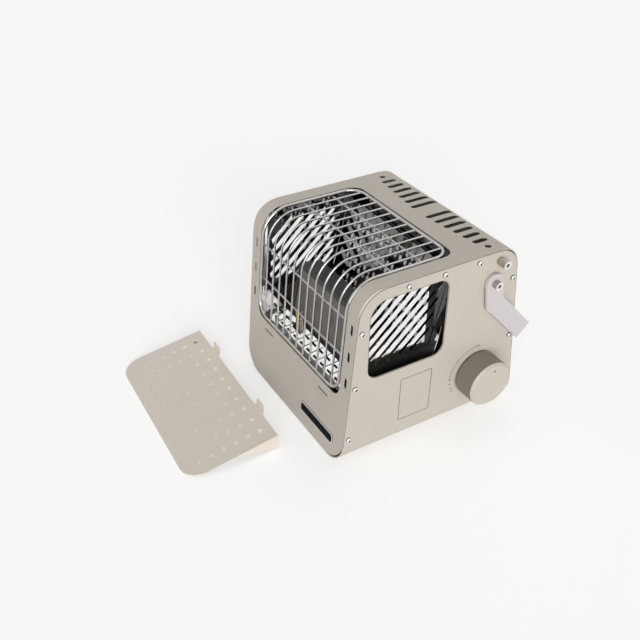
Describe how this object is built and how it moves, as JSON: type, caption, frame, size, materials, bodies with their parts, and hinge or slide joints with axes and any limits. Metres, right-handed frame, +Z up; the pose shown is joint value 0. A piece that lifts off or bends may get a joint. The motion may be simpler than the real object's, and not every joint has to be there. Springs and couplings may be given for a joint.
{
  "type": "portable propane heater",
  "caption": "Portable cassette propane heater with a greige sheet casing, wire guard, mirror reflectors, ceramic burner, swinging strap handle, control knob, rear gas door and a warming tray.",
  "frame": {"origin": "middle of the flat underside of the casing, on the surface it stands on", "axes": "+Z up, +X towards the knob side, -Y towards the guarded front"},
  "size_m": [0.345, 0.4262, 0.2353],
  "materials": {
    "greige_paint": "satin powder coat",
    "greige_knob": "satin",
    "handle_paint": "satin powder coat",
    "greige_metal": "satin",
    "screw_chrome": "polished",
    "guard_chrome": "polished",
    "zinc_steel": "zinc plated",
    "badge_metal": "polished rim, dark field",
    "black_enamel": "satin enamel",
    "mirror_steel": "mirror polished",
    "brushed_shield": "brushed",
    "dark_steel": "heat resistant black",
    "ceramic": "matte",
    "mesh_steel": "woven cloth",
    "brass": "machined",
    "copper_pipe": "drawn tube",
    "cast_zinc": "die cast",
    "magnet": "coated",
    "rubber": "matte",
    "black_plastic": "moulded"
  },
  "bodies": {
    "heater": {"badge_plate": "badge_metal", "burner_brackets": "dark_steel", "burner_frame": "brushed_shield", "burner_housing": "dark_steel", "burner_mesh": "mesh_steel", "burner_tile": "ceramic", "cartridge_cradle": "zinc_steel", "cartridge_stop": "rubber", "chamber_floor": "black_enamel", "cover_screws": "screw_chrome", "door_hinge_leaves": "zinc_steel", "door_hinge_pins": "zinc_steel", "door_magnet": "magnet", "electrode_bracket": "zinc_steel", "flame_sensor": "brass", "front_top_cover": "greige_paint", "gas_nozzle": "brass", "gas_pipe": "copper_pipe", "guard_clips": "zinc_steel", "guard_cross_wires": "guard_chrome", "guard_frame": "guard_chrome", "guard_long_wires": "guard_chrome", "handle_nuts": "zinc_steel", "handle_pivot_screws": "screw_chrome", "handle_spacers": "greige_metal", "handle_stop_pins": "screw_chrome", "heat_shield": "zinc_steel", "ignition_electrode": "ceramic", "left_reflector": "mirror_steel", "lower_front_reflector": "mirror_steel", "magnet_ring": "magnet", "mixer_tube": "zinc_steel", "piezo_igniter": "black_plastic", "rear_reflector": "mirror_steel", "regulator_body": "cast_zinc", "regulator_bracket": "zinc_steel", "regulator_valve": "brass", "right_reflector": "mirror_steel", "side_base_shell": "greige_paint", "tip_over_switch": "black_plastic", "top_side_shield": "brushed_shield"},
    "knob": {"control_knob": "greige_knob", "valve_stem": "brass"},
    "handle": {"handle_strap": "handle_paint"},
    "door": {"rear_door": "greige_paint"},
    "tray": {"warming_tray": "greige_paint"}
  },
  "joints": [
    {"name": "knob_turn", "type": "hinge", "parent": "heater", "child": "knob", "pos_m": [0.12, 0.061, 0.0712], "axis": [1, 0, 0], "range_deg": [0, 120]},
    {"name": "handle_swing", "type": "hinge", "parent": "heater", "child": "handle", "pos_m": [0.12, 0.0682, 0.197], "axis": [1, 0, 0], "range_deg": [0, 112]},
    {"name": "door_swing", "type": "hinge", "parent": "heater", "child": "door", "pos_m": [0, 0.12881, 0.02091], "axis": [-1, 0, 0], "range_deg": [0, 95]},
    {"name": "tray_lift", "type": "slide", "parent": "heater", "child": "tray", "axis": [0, 0, 1], "range_m": [0, 0.12]}
  ]
}
